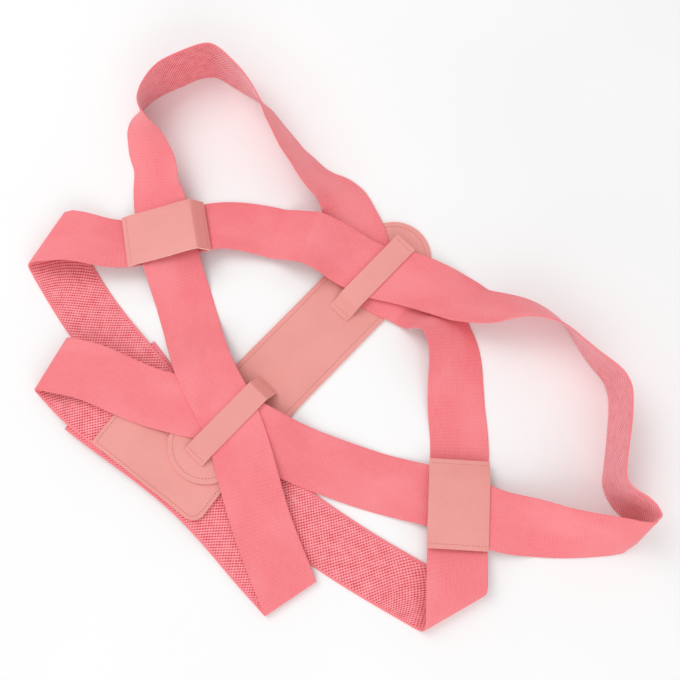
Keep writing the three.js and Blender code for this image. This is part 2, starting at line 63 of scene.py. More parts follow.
log = logging.getLogger("posture_corrector")


class Slot(Enum):
    """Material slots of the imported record."""

    WEBBING = "webbing"
    LEATHER = "leather"


# --- Materials -----------------------------------------------------------------------

# A noise's detail where its small patches have to show
FINE_DETAIL = 3.0
# Noise varies about 0.5. Over the first span it changes a colour, and over the second a roughness
TONE_SPAN = (0.35, 0.65)
MOTTLE_SPAN = (0.3, 0.7)


def linear(colour: str) -> tuple[float, float, float, float]:
    """Turn an sRGB hex colour into linear RGBA.

    Args:
        colour: A colour such as "#f9878d".

    Returns:
        Linear red, green, blue and an alpha of 1.
    """
    channels = [int(colour[i:i + 2], 16) / 255 for i in (1, 3, 5)]
    return (*[c / 12.92 if c <= 0.04045 else ((c + 0.055) / 1.055) ** 2.4 for c in channels], 1.0)


def add_node(
    tree: bpy.types.NodeTree, kind: str, inputs: dict[str | int, object] | None = None, **settings: object
) -> bpy.types.Node:
    """Add a shader node with its settings and links.

    Args:
        tree: The tree that gets the node.
        kind: Blender's name for the type of node.
        inputs: A value, a hex colour or a socket to link, by the name or number of each input.
        **settings: The node's own settings, by name.

    Returns:
        The new node.
    """
    node = tree.nodes.new(kind)
    for name, value in settings.items():
        setattr(node, name, value)
    for name, value in (inputs or {}).items():
        if isinstance(value, bpy.types.NodeSocket):
            tree.links.new(value, node.inputs[name])
        else:
            node.inputs[name].default_value = linear(value) if isinstance(value, str) else value
    return node


def wave(tree: bpy.types.NodeTree, coordinate: bpy.types.NodeSocket, pitch: float) -> bpy.types.NodeSocket:
    """Give a cosine of a coordinate with a real pitch, from -1 to 1.

    Args:
        tree: The tree that gets the nodes.
        coordinate: A coordinate in metres, or in turns where the pitch is 1.
        pitch: The distance between two crests, in the same unit.

    Returns:
        The wave's output socket.
    """
    turn = add_node(tree, "ShaderNodeMath", {0: coordinate, 1: math.tau / pitch}, operation="MULTIPLY")
    return add_node(tree, "ShaderNodeMath", {0: turn.outputs[0]}, operation="COSINE").outputs[0]


def summed(tree: bpy.types.NodeTree, *terms: tuple[bpy.types.NodeSocket, float]) -> bpy.types.NodeSocket:
    """Add values, each times its weight.

    Args:
        tree: The tree that gets the nodes.
        *terms: Values with their weights.

    Returns:
        The sum's output socket.
    """
    total = 0.0
    for value, weight in terms:
        node = add_node(tree, "ShaderNodeMath", {0: value, 1: weight, 2: total}, operation="MULTIPLY_ADD")
        total = node.outputs[0]
    return total


def cloud(
    tree: bpy.types.NodeTree,
    coordinates: bpy.types.NodeSocket,
    size: float | tuple[float, float, float],
    detail: float = 2.0,
) -> bpy.types.NodeSocket:
    """Give soft noise whose patches have a real size.

    Args:
        tree: The tree that gets the nodes.
        coordinates: Coordinates in metres.
        size: Size of a patch in metres, or its size along each axis.
        detail: The noise's detail.

    Returns:
        The noise's value socket, about 0.5 on average.
    """
    sizes = size if isinstance(size, tuple) else (size, size, size)
    scaled = add_node(tree, "ShaderNodeMapping", {"Vector": coordinates, "Scale": [1 / s for s in sizes]})
    noise = {"Vector": scaled.outputs["Vector"], "Scale": 1.0, "Detail": detail}
    return add_node(tree, "ShaderNodeTexNoise", noise).outputs[0]


def tinted(
    tree: bpy.types.NodeTree,
    pattern: bpy.types.NodeSocket,
    span: tuple[float, float],
    first: str | bpy.types.NodeSocket,
    second: str | bpy.types.NodeSocket,
    most: float = 1.0,
) -> bpy.types.NodeSocket:
    """Go smoothly from one colour to another as a pattern rises.

    Args:
        tree: The tree that gets the nodes.
        pattern: The value that the colour follows.
        span: The pattern's values where the change starts and ends.
        first: The colour below the span, as a hex colour or a socket.
        second: The colour above it.
        most: The greatest share of the second colour.

    Returns:
        The colour's output socket.
    """
    step = {"Value": pattern, "From Min": span[0], "From Max": span[1], "To Max": most}
    share = add_node(tree, "ShaderNodeMapRange", step, interpolation_type="SMOOTHSTEP").outputs["Result"]
    # Inputs 6 and 7 of a Mix node are its two colours, and output 2 is the mixed colour
    return add_node(tree, "ShaderNodeMix", {0: share, 6: first, 7: second}, data_type="RGBA").outputs[2]


@dataclass(frozen=True)
class Pattern:
    """What a finish draws: its colour and, where it has them, its height and mottle."""

    colour: bpy.types.NodeSocket
    height: bpy.types.NodeSocket | None = None
    mottle: bpy.types.NodeSocket | None = None


@dataclass(frozen=True)
class Finish:
    """What every finish shares: its name, and how rough, deep, shiny and soft it is."""

    name: str
    roughness: float = 0.5
    # With the mottle the roughness goes this far up and down
    unevenness: float = 0.0
    relief: float = 0.1 * MM
    bump: float = 0.5
    sunken: bool = False
    specular: float = 0.5
    sheen: float = 0.0
    sheen_roughness: float = 0.5
    sheen_tint: str = "#ffffff"

    def pattern(self, tree: bpy.types.NodeTree) -> Pattern:
        """Draw the finish's own pattern.

        Args:
            tree: The tree that gets the nodes.

        Returns:
            The pattern's sockets.
        """
        raise NotImplementedError

    def material(self) -> bpy.types.Material:
        """Build the material round the pattern.

        Returns:
            The new material.
        """
        material = bpy.data.materials.new(self.name)
        material.use_nodes = True
        tree = material.node_tree
        tree.nodes.clear()
        drawn = self.pattern(tree)
        inputs = {
            "Base Color": drawn.colour,
            "Roughness": self.roughness,
            "Specular IOR Level": self.specular,
            "Sheen Weight": self.sheen,
            "Sheen Roughness": self.sheen_roughness,
            "Sheen Tint": self.sheen_tint,
        }
        if drawn.mottle is not None:
            step = {
                "Value": drawn.mottle,
                "From Min": MOTTLE_SPAN[0],
                "From Max": MOTTLE_SPAN[1],
                "To Min": self.roughness - self.unevenness,
                "To Max": self.roughness + self.unevenness,
            }
            rough = add_node(tree, "ShaderNodeMapRange", step, interpolation_type="SMOOTHSTEP")
            inputs["Roughness"] = rough.outputs["Result"]
        if drawn.height is not None:
            relief = {"Strength": self.bump, "Distance": self.relief, "Height": drawn.height}
            bump = add_node(tree, "ShaderNodeBump", relief, invert=self.sunken)
            inputs["Normal"] = bump.outputs["Normal"]
        shader = add_node(tree, "ShaderNodeBsdfPrincipled", inputs)
        add_node(tree, "ShaderNodeOutputMaterial", {"Surface": shader.outputs["BSDF"]})
        return material


@dataclass(frozen=True)
class RibbedElastic(Finish):
    """Front of knitted elastic: polyester ribs lie along it, matte with a soft sheen."""

    name: str = "elastic_ribbed_face"
    crest: str = "#f88c92"
    # Darker colour: random streaks, and painted shade in the low valleys between the ribs
    streak_and_valley_shade: str = "#ef727a"
    worn: str = "#ffa6aa"
    # The ribs are 0.8 mm apart on the real strap, drawn a little coarser so that they show
    rib_pitch: float = 1.1 * MM
    pick_pitch: float = 1.5 * MM
    bar_pitch: float = 3.1 * MM
    rib_weight: float = 0.3
    pick_weight: float = 0.2
    bar_weight: float = 0.1
    fuzz_weight: float = 0.9
    fuzz_size: float = 0.9 * MM
    streak_size: tuple[float, float, float] = (1.0 * MM, 9 * MM, MM)
    streak_weight: float = 0.4
    patch_size: tuple[float, float, float] = (40 * MM, 70 * MM, MM)
    streak_and_valley_shade_span: tuple[float, float] = (0.1, 0.65)
    worn_span: tuple[float, float] = (0.4, 0.7)
    worn_share: float = 0.25
    roughness: float = 0.82
    unevenness: float = 0.08
    relief: float = 0.14 * MM
    bump: float = 0.7
    specular: float = 0.3
    sheen: float = 0.35
    sheen_roughness: float = 0.45
    sheen_tint: str = "#ffd9da"

    def pattern(self, tree: bpy.types.NodeTree) -> Pattern:
        """Draw fine lengthwise ribs, which give the eye faint parallel lines, with painted shade in their low
        valleys and darker random streaks.

        Args:
            tree: The tree that gets the nodes.

        Returns:
            The pattern's sockets.
        """
        uv = add_node(tree, "ShaderNodeTexCoord").outputs["UV"]
        across, along = add_node(tree, "ShaderNodeSeparateXYZ", {"Vector": uv}).outputs[:2]
        ribs = wave(tree, across, self.rib_pitch)
        picks = wave(tree, along, self.pick_pitch)
        bars = wave(tree, along, self.bar_pitch)
        knit = ((ribs, self.rib_weight), (picks, self.pick_weight), (bars, self.bar_weight))
        fuzz = cloud(tree, uv, self.fuzz_size)
        height = summed(tree, *knit, (fuzz, self.fuzz_weight))
        streaks = cloud(tree, uv, self.streak_size, FINE_DETAIL)
        # Where the streaks and the knit's height are low the colour darkens: random streaks, and painted
        # shade in the valleys
        depth = summed(tree, (streaks, self.streak_weight), (height, self.streak_weight))
        thread = tinted(tree, depth, self.streak_and_valley_shade_span, self.streak_and_valley_shade, self.crest)
        patches = cloud(tree, uv, self.patch_size)
        colour = tinted(tree, patches, self.worn_span, thread, self.worn, most=self.worn_share)
        return Pattern(colour, height, fuzz)


@dataclass(frozen=True)
class OpenMesh(Finish):
    """Reverse of the elastic: loose staggered loops between two plain selvedges."""

    name: str = "elastic_mesh_reverse"
    loop: str = "#ff9fa7"
    # Deep red painted into the holes between the loops as their shade
    gap_shade: str = "#dd2f3f"
    selvedge: str = "#f9838b"
    # Loops lie in rows along the strap, each row shifted half a loop from the next
    row_pitch: float = 3.5 * MM
    loop_pitch: float = 3.0 * MM
    # At 0.5 the loops are round, and above it they lean to one side
    slant: float = 0.6
    fuzz_weight: float = 1.1
    pull_weight: float = 1.2
    fuzz_size: float = 1.1 * MM
    pull_size: tuple[float, float, float] = (6 * MM, 9 * MM, MM)
    net_span: tuple[float, float] = (0.15, 1.65)
    width: float = 50 * MM
    selvedge_width: float = 1.8 * MM
    selvedge_blur: float = 0.5 * MM
    roughness: float = 0.85
    unevenness: float = 0.07
    relief: float = 0.4 * MM
    bump: float = 0.8
    specular: float = 0.25
    sheen: float = 0.8
    sheen_tint: str = "#ffe6e8"

    def pattern(self, tree: bpy.types.NodeTree) -> Pattern:
        """Draw light loops over deep red gaps, which give the eye a coarse diagonal net; the gaps' deep red
        is painted shade in the holes between the loops.

        Args:
            tree: The tree that gets the nodes.

        Returns:
            The pattern's sockets.
        """
        uv = add_node(tree, "ShaderNodeTexCoord").outputs["UV"]
        across, along = add_node(tree, "ShaderNodeSeparateXYZ", {"Vector": uv}).outputs[:2]
        row = (across, 1 / self.row_pitch)
        slanted = wave(tree, summed(tree, row, (along, -1 / self.loop_pitch)), 1.0)
        crossing = wave(tree, summed(tree, row, (along, 1 / self.loop_pitch)), 1.0)
        fuzz = cloud(tree, uv, self.fuzz_size)
        pulled = cloud(tree, uv, self.pull_size)
        net = ((slanted, self.slant), (crossing, 1 - self.slant))
        loose = summed(tree, *net, (fuzz, self.fuzz_weight), (pulled, self.pull_weight))
        rest = add_node(tree, "ShaderNodeMath", {0: self.width, 1: across}, operation="SUBTRACT").outputs[0]
        edge = add_node(tree, "ShaderNodeMath", {0: across, 1: rest}, operation="MINIMUM").outputs[0]
        edge_span = (self.selvedge_width - self.selvedge_blur, self.selvedge_width + self.selvedge_blur)
        weave, inner = [
            add_node(
                tree,
                "ShaderNodeMapRange",
                {"Value": value, "From Min": span[0], "From Max": span[1]},
                interpolation_type="SMOOTHSTEP",
            ).outputs["Result"]
            for value, span in ((loose, self.net_span), (edge, edge_span))
        ]
        # Low parts of the net and of the random fuzz take the gaps' painted shade, high parts the loops'
        # colour
        threads = add_node(tree, "ShaderNodeMix", {0: weave, 6: self.gap_shade, 7: self.loop}, data_type="RGBA")
        mesh = {0: inner, 6: self.selvedge, 7: threads.outputs[2]}
        colour = add_node(tree, "ShaderNodeMix", mesh, data_type="RGBA").outputs[2]
        height = add_node(tree, "ShaderNodeMath", {0: weave, 1: inner}, operation="MULTIPLY").outputs[0]
        return Pattern(colour, height, fuzz)


@dataclass(frozen=True)
class FauxLeather(Finish):
    """Polyurethane coated cloth, embossed with a very fine grain."""

    name: str = "faux_leather_smooth"
    base: str = "#ec9d96"
    shade: str = "#e79890"
    grain: float = 0.9 * MM
    mottle_size: float = 3.0 * MM
    patch_size: float = 45 * MM
    mottle_tone: float = 0.3
    mottle_height: float = 0.7
    roughness: float = 0.55
    unevenness: float = 0.06
    relief: float = 0.06 * MM
    bump: float = 0.4
    specular: float = 0.4

    def pattern(self, tree: bpy.types.NodeTree) -> Pattern:
        """Draw a smooth satin coat, whose grain gives the eye only a faint mottle.

        Args:
            tree: The tree that gets the nodes.

        Returns:
            The pattern's sockets.
        """
        place = add_node(tree, "ShaderNodeTexCoord").outputs["Object"]
        cells = add_node(tree, "ShaderNodeTexVoronoi", {"Vector": place, "Scale": 1 / self.grain})
        mottle = cloud(tree, place, self.mottle_size, FINE_DETAIL)
        patches = cloud(tree, place, self.patch_size)
        tone = summed(tree, (mottle, self.mottle_tone), (patches, 1 - self.mottle_tone))
        colour = tinted(tree, tone, TONE_SPAN, self.shade, self.base)
        height = summed(tree, (cells.outputs["Distance"], 1.0), (mottle, self.mottle_height))
        return Pattern(colour, height, mottle)


@dataclass(frozen=True)
class CutEdge(Finish):
    """Cut edge of the coated cloth: raw backing shows, paler and duller than the coat."""

    name: str = "faux_leather_cut_edge"
    base: str = "#fad0ca"
    shade: str = "#f0b3ab"
    fibre_size: float = 0.8 * MM
    fibre_detail: float = FINE_DETAIL
    roughness: float = 0.85

    def pattern(self, tree: bpy.types.NodeTree) -> Pattern:
        """Draw pale fibres, which give the eye a thin light outline.

        Args:
            tree: The tree that gets the nodes.

        Returns:
            The pattern's sockets.
        """
        place = add_node(tree, "ShaderNodeTexCoord").outputs["Object"]
        fibres = cloud(tree, place, self.fibre_size, self.fibre_detail)
        return Pattern(tinted(tree, fibres, TONE_SPAN, self.shade, self.base), fibres)


@dataclass(frozen=True)
class SewingThread(CutEdge):
    """Twisted polyester thread in the leather's colour, a little glossier than the coat.

    It is drawn as the cut edge is: a finer twist breaks each stitch into light and dark.
    """

    name: str = "polyester_thread"
    base: str = "#d5857e"
    shade: str = "#b9655f"
    fibre_size: float = 0.5 * MM
    fibre_detail: float = 2.0
    roughness: float = 0.5


@dataclass(frozen=True)
class HookPile(Finish):
    """Moulded nylon hooks on the underside of a closing tab."""

    name: str = "nylon_hook_pile"
    base: str = "#f48f93"
    # Darker colour painted into the sunken gaps between the hooks as their shade
    shade: str = "#d9686f"
    hook_pitch: float = 1.2 * MM
    hollow_shade_span: tuple[float, float] = (0.1, 0.6)
    roughness: float = 0.6
    relief: float = 0.3 * MM
    bump: float = 0.8
    sunken: bool = True

    def pattern(self, tree: bpy.types.NodeTree) -> Pattern:
        """Draw rows of tiny hooks, which give the eye a rough dark pink edge, with painted shade in the
        sunken gaps between the hooks.

        Args:
            tree: The tree that gets the nodes.

        Returns:
            The pattern's sockets.
        """
        place = add_node(tree, "ShaderNodeTexCoord").outputs["Object"]
        cells = add_node(tree, "ShaderNodeTexVoronoi", {"Vector": place, "Scale": 1 / self.hook_pitch})
        hooks = cells.outputs["Distance"]
        return Pattern(tinted(tree, hooks, self.hollow_shade_span, self.base, self.shade), hooks)


@dataclass(frozen=True)
class TableTop(Finish):
    """Matte white studio sweep."""

    name: str = "studio_sweep"
    base: str = "#fbfbfb"
    shade: str = "#f6f6f6"
    patch_size: float = 150 * MM
    roughness: float = 0.9
    specular: float = 0.1

    def pattern(self, tree: bpy.types.NodeTree) -> Pattern:
        """Draw a plain pale surface, which gives the eye only soft shade.

        Args:
            tree: The tree that gets the nodes.

        Returns:
            The pattern's sockets.
        """
        place = add_node(tree, "ShaderNodeTexCoord").outputs["Object"]
        share = cloud(tree, place, self.patch_size, 1.0)
        mix = add_node(tree, "ShaderNodeMix", {0: share, 6: self.shade, 7: self.base}, data_type="RGBA")
        return Pattern(mix.outputs[2])


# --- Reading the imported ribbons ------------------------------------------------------


def unit(vectors: np.ndarray) -> np.ndarray:
    """Scale vectors to a length of 1.

    Args:
        vectors: Vectors, held in the last axis.

    Returns:
        The unit vectors, in the same shape.
    """
    return vectors / np.maximum(np.linalg.norm(vectors, axis=-1, keepdims=True), SHORTEST)


def packed_rings(node: str) -> np.ndarray:
    """Read a packed ribbon as rings of four corners, from one end to the other.

    Args:
        node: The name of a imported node, whose solid is a ribbon of four-cornered rings.

    Returns:
        Corners, as rings by 4 by 3, with matching corners in the same place.
    """
    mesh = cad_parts[node].data
    loose = np.array([v.co for v in mesh.vertices])
    _, first, index = np.unique(np.round(loose / SAME_CORNER), axis=0, return_index=True, return_inverse=True)
    points, index = loose[first], index.reshape(-1)
    near: list[set[int]] = [set() for _ in points]
    for polygon in mesh.polygons:
        loop = [int(index[v]) for v in polygon.vertices]
        for a, b in itertools.permutations(loop, 2):
            near[a].add(b)
    # A corner inside the ribbon has six neighbours, and one at an end has fewer
    at_ends = {i for i, others in enumerate(near) if len(others) < 6}
    layer = {min(at_ends)}
    while True:
        grown = layer | {j for i in layer for j in near[i] if j in at_ends}
        if grown == layer:
            break
        layer = grown
    seen = set(layer)
    corner = points[min(layer)]
    start = sorted(layer, key=lambda i: float(np.linalg.norm(points[i] - corner)))
    # Of the other three, the nearest is across the thickness and the last is the opposite corner
    rings = [points[[start[0], start[2], start[3], start[1]]]]
    while True:
        layer = {j for i in layer for j in near[i]} - seen
        if not layer:
            return np.array(rings)
        seen |= layer
        orders = [points[list(order)] for order in itertools.permutations(sorted(layer))]
        rings.append(min(orders, key=lambda order: float(np.linalg.norm(order - rings[-1], axis=1).sum())))


def faced(rings: np.ndarray, reference: int) -> np.ndarray:
    """Order a ribbon's corners so that its front is the side that faces up at one ring.

    Args:
        rings: Corners, as rings by 4 by 3, the first and second along one edge of a face.
        reference: The ring where the front faces up: 0 or -1.

    Returns:
        The same corners: front left, front right, back right and back left, going forward.
    """
    before, after = (0, 1) if reference == 0 else (-2, -1)
    step = rings[after].mean(axis=0) - rings[before].mean(axis=0)
    ring = rings[reference]
    if (ring[:2].mean(axis=0) - ring[2:].mean(axis=0))[2] < 0:
        rings = rings[:, [3, 2, 1, 0]]
        ring = rings[reference]
    facing = ring[:2].mean(axis=0) - ring[2:].mean(axis=0)
    if np.dot(np.cross(ring[1] - ring[0], step), facing) < 0:
        rings = rings[:, [1, 0, 3, 2]]
    return rings


def joined_rings(nodes: Sequence[str]) -> np.ndarray:
    """Join a strap's packed lengths, closing the hidden cuts between them.

    Args:
        nodes: Names of the strap's lengths, in order. Its front faces up at each cut.

    Returns:
        The strap's corners, as rings by 4 by 3.
    """
    joined: list[np.ndarray] = []
    for i, node in enumerate(nodes):
        rings = packed_rings(node)
        target = joined[-1].mean(axis=0) if joined else packed_rings(nodes[1])[[0, -1]].mean(axis=1)
        reach = [np.linalg.norm(rings[end].mean(axis=0) - target, axis=-1).min() for end in (0, -1)]
        cut_is_first = reach[0] < reach[1]
        if cut_is_first != (i > 0):
            rings = rings[::-1]
        rings = faced(rings, 0 if i > 0 else -1)
        if joined:
            joined[-1] = (joined[-1] + rings[0]) / 2
            rings = rings[1:]
        joined.extend(rings)
    return np.array(joined)


def slopes(values: np.ndarray, at: np.ndarray) -> np.ndarray:
    """Give the slopes of a smooth curve through uneven samples.

    Args:
        values: Samples, one in each row.
        at: The distance of each sample.

    Returns:
        One slope for each sample.
    """
    steps = np.diff(at)[:, None]
    rise = np.diff(values, axis=0) / steps
    inner = (rise[:-1] * steps[1:] + rise[1:] * steps[:-1]) / (steps[:-1] + steps[1:])
    return np.concatenate([rise[:1], inner, rise[-1:]])


def splined(values: np.ndarray, at: np.ndarray, where: np.ndarray) -> np.ndarray:
    """Read a smooth curve through uneven samples at other distances.

    Args:
        values: Samples, one in each row.
        at: The distance of each sample.
        where: The distances to read.

    Returns:
        One row for each distance.
    """
    tangents = slopes(values, at)
    i = np.clip(np.searchsorted(at, where, side="right") - 1, 0, len(at) - 2)
    span = (at[i + 1] - at[i])[:, None]
    u = ((where - at[i]) / (at[i + 1] - at[i]))[:, None]
    return (
        (2 * u**3 - 3 * u**2 + 1) * values[i]
        + (u**3 - 2 * u**2 + u) * span * tangents[i]
        + (3 * u**2 - 2 * u**3) * values[i + 1]
        + (u**3 - u**2) * span * tangents[i + 1]
    )


@dataclass
class Band:
    """A ruled band in space: two edge lines and the distance along its middle."""

    left: np.ndarray
    right: np.ndarray
    distance: np.ndarray = field(init=False)

    def __post_init__(self) -> None:
        """Measure the middle line."""
        middle = (self.left + self.right) / 2
        steps = np.linalg.norm(np.diff(middle, axis=0), axis=1)
        self.distance = np.concatenate([[0.0], np.cumsum(steps)])

    @property
    def length(self) -> float:
        """Length of the middle line."""
        return float(self.distance[-1])

    def refined(self, spacing: float) -> "Band":
        """Add rings along a smooth curve, so that none are further apart than a spacing.

        Args:
            spacing: The widest step between two rings.

        Returns:
            The finer band, which passes through the same rings.
        """
        where = [0.0]
        for start, end in zip(self.distance, self.distance[1:]):
            steps = max(1, math.ceil((end - start) / spacing))
            where.extend(start + (end - start) * (k + 1) / steps for k in range(steps))
        at = np.array(where)
        return Band(splined(self.left, self.distance, at), splined(self.right, self.distance, at))

    def frames(self) -> tuple[np.ndarray, np.ndarray]:
        """Directions of each ring.

        Returns:
            The unit ruling from left to right, and the unit normal out of the front.
        """
        middle = (self.left + self.right) / 2
        tangent = unit(slopes(middle, self.distance))
        ruling = unit(self.right - self.left)
        return ruling, unit(np.cross(ruling, tangent))


# --- Meshes --------------------------------------------------------------------------


def new_object(name: str, points: np.ndarray, faces: Sequence[Sequence[int]]) -> bpy.types.Object:
    """Make a mesh object at the origin.

    Args:
        name: The piece's name.
        points: One vertex in each row.
        faces: Vertex numbers of each face.

    Returns:
        The new object.
    """
    mesh = bpy.data.meshes.new(name)
    mesh.from_pydata([tuple(p) for p in points], [], [tuple(f) for f in faces])
    mesh.validate()
    made = bpy.data.objects.new(name, mesh)
    bpy.context.scene.collection.objects.link(made)
    return made


def deselect_all() -> None:
    """Leave nothing selected, so that operators act only on the next piece."""
    if bpy.context.object and bpy.context.object.mode == "EDIT":
        bpy.ops.object.mode_set(mode="OBJECT")
    bpy.ops.object.select_all(action="DESELECT")


def shade_smooth(piece: bpy.types.Object) -> None:
    """Shade a piece smooth, apart from its sharp edges.

    Args:
        piece: The piece, which is left selected.
    """
    deselect_all()
    piece.select_set(True)
    bpy.context.view_layer.objects.active = piece
    bpy.ops.object.shade_smooth_by_angle(angle=SMOOTH_ANGLE)


def coordinates(piece: bpy.types.Object) -> np.ndarray:
    """Read a mesh's vertices.

    Args:
        piece: The piece that has the mesh.

    Returns:
        One vertex in each row.
    """
    flat = np.empty(len(piece.data.vertices) * 3)
    piece.data.vertices.foreach_get("co", flat)
    return flat.reshape(-1, 3)


def set_coordinates(piece: bpy.types.Object, points: np.ndarray) -> None:
    """Move a mesh's vertices.

    Args:
        piece: The piece that has the mesh.
        points: The new place of each vertex, one in each row.
    """
    piece.data.vertices.foreach_set("co", points.ravel())
    piece.data.update()


def select_vertices(piece: bpy.types.Object, chosen: Callable[[np.ndarray], np.ndarray]) -> None:
    """Select vertices of the piece in edit mode by their place.

    Args:
        piece: The piece that is in edit mode.
        chosen: Gives True for each row of coordinates that is selected.
    """
    bpy.ops.mesh.select_mode(type="VERT")
    bpy.ops.mesh.select_all(action="DESELECT")
    bpy.ops.object.mode_set(mode="OBJECT")
    for vertex, wanted in zip(piece.data.vertices, chosen(coordinates(piece))):
        vertex.select = bool(wanted)
    bpy.ops.object.mode_set(mode="EDIT")


def ride(piece: bpy.types.Object, nodes: Sequence[str] = ()) -> None:
    """Fix a finished piece to the frame.

    Args:
        piece: The finished piece.
        nodes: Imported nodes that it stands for.
    """
    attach(piece, "root")
    if nodes:
        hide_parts(*nodes)
    piece.data.calc_loop_triangles()
    log.info("%s: %d triangles", piece.name, len(piece.data.loop_triangles))


@dataclass
class Strap:
    """A length of elastic webbing that lies folded, from one end to the other."""

    name: str
    nodes: tuple[str, ...]
    rests_on: tuple[str, ...]
    width: float = 50 * MM
    thickness: float = 1.4 * MM
    spacing: float = 2.4 * MM
    # The knitted edge rounds off over this width, and keeps this share of the squared thickness
    edge: float = 0.8 * MM
    edge_share: float = 0.08
    # A shallow channel on both sides marks where the edge is knitted closer
    channel_inset: float = 4.0 * MM
    channel_width: float = 0.8 * MM
    channel_depth: float = 0.1 * MM
    # Distances of the mesh's columns from either edge, in millimetres
    columns: tuple[float, ...] = (0.0, 0.3, 0.8, 1.8, 3.4, 4.4, 7.5, 12.0, 18.0)

    def build(self, face: bpy.types.Material, reverse: bpy.types.Material) -> bpy.types.Object:
        """Build the strap as a closed thin shell along its packed ribbon.

        Args:
            face: Material of the ribbed front.
            reverse: Material of the open mesh at the back.

        Returns:
            The strap's object.
        """
        rings = joined_rings(self.nodes)
        band = Band((rings[:, 0] + rings[:, 3]) / 2, (rings[:, 1] + rings[:, 2]) / 2).refined(self.spacing)
        across = self.stations()
        front, back = self.surfaces(band, across)
        return self.shell(band, across, front, back, face, reverse)

    def stations(self) -> np.ndarray:
        """Distances of the columns from the left edge, in order."""
        half = [c * MM for c in self.columns]
        return np.array([*half, self.width / 2, *[self.width - c for c in reversed(half)]])

    def surfaces(self, band: Band, across: np.ndarray) -> tuple[np.ndarray, np.ndarray]:
        """Place the front and the reverse around the band's ruled surface.

        Args:
            band: The strap's middle surface.
            across: Distances of the columns from the left edge.

        Returns:
            Points of the front and of the back, as rings by columns by 3.
        """
        share = (across / self.width)[None, :, None]
        base = band.left[:, None] * (1 - share) + band.right[:, None] * share
        left_slope = slopes(band.left, band.distance)[:, None]
        right_slope = slopes(band.right, band.distance)[:, None]
        along = left_slope * (1 - share) + right_slope * share
        ruling = (band.right - band.left)[:, None]
        normal = unit(np.cross(np.broadcast_to(ruling, along.shape), along))
        from_edge = np.minimum(across, self.width - across)
        flatness = 1 - (1 - np.clip(from_edge / self.edge, 0, 1)) ** 2
        roundness = np.sqrt(np.clip(flatness, self.edge_share, 1))
        channel = self.channel_depth * np.exp(-(((from_edge - self.channel_inset) / self.channel_width) ** 2))
        half = (self.thickness / 2 * roundness - channel)[None, :, None]
        return base + normal * half, base - normal * half

    def shell(
        self,
        band: Band,
        across: np.ndarray,
        front: np.ndarray,
        back: np.ndarray,
        face: bpy.types.Material,
        reverse: bpy.types.Material,
    ) -> bpy.types.Object:
        """Close the two surfaces at the edges and ends, and give the shell its UV map.

        Args:
            band: The strap's middle surface.
            across: Distances of the columns from the left edge.
            front: Points of the front.
            back: Points of the back.
            face: Material of the front.
            reverse: Material of the back.

        Returns:
            The strap's object.
        """
        rows, count = front.shape[:2]
        # Each ring goes round once: the front from left to right, then the back from right to left
        around = np.concatenate([front, back[:, ::-1]], axis=1)
        ring = around.shape[1]
        faces, sides, uvs = [], [], []
        loop_across = [*across, *across[::-1]]
        for i in range(rows - 1):
            for k in range(ring):
                after = (k + 1) % ring
                faces.append((i * ring + k, i * ring + after, (i + 1) * ring + after, (i + 1) * ring + k))
                sides.append(0 if k < count or k == ring - 1 else 1)
                for j, row in ((k, i), (after, i), (after, i + 1), (k, i + 1)):
                    uvs.append((loop_across[j], float(band.distance[row])))
        for row, turn in ((0, -1), (rows - 1, 1)):
            cap = [row * ring + k for k in range(ring)][::turn]
            for k in range(1, count):
                quad = [cap[k - 1], cap[k], cap[ring - 1 - k], cap[ring - k]]
                faces.append(tuple(quad))
                sides.append(0)
                uvs.extend([(loop_across[q % ring], float(band.distance[row])) for q in quad])
        made = new_object(self.name, around.reshape(-1, 3), faces)
        made.data.materials.append(face)
        made.data.materials.append(reverse)
        made.data.polygons.foreach_set("material_index", sides)
        layer = made.data.uv_layers.new(name="strap")
        layer.data.foreach_set("uv", np.array(uvs).ravel())
        made.data.shade_smooth()
        ride(made, self.nodes)
        log.info("%s: %.0f mm long", self.name, band.length / MM)
        return made


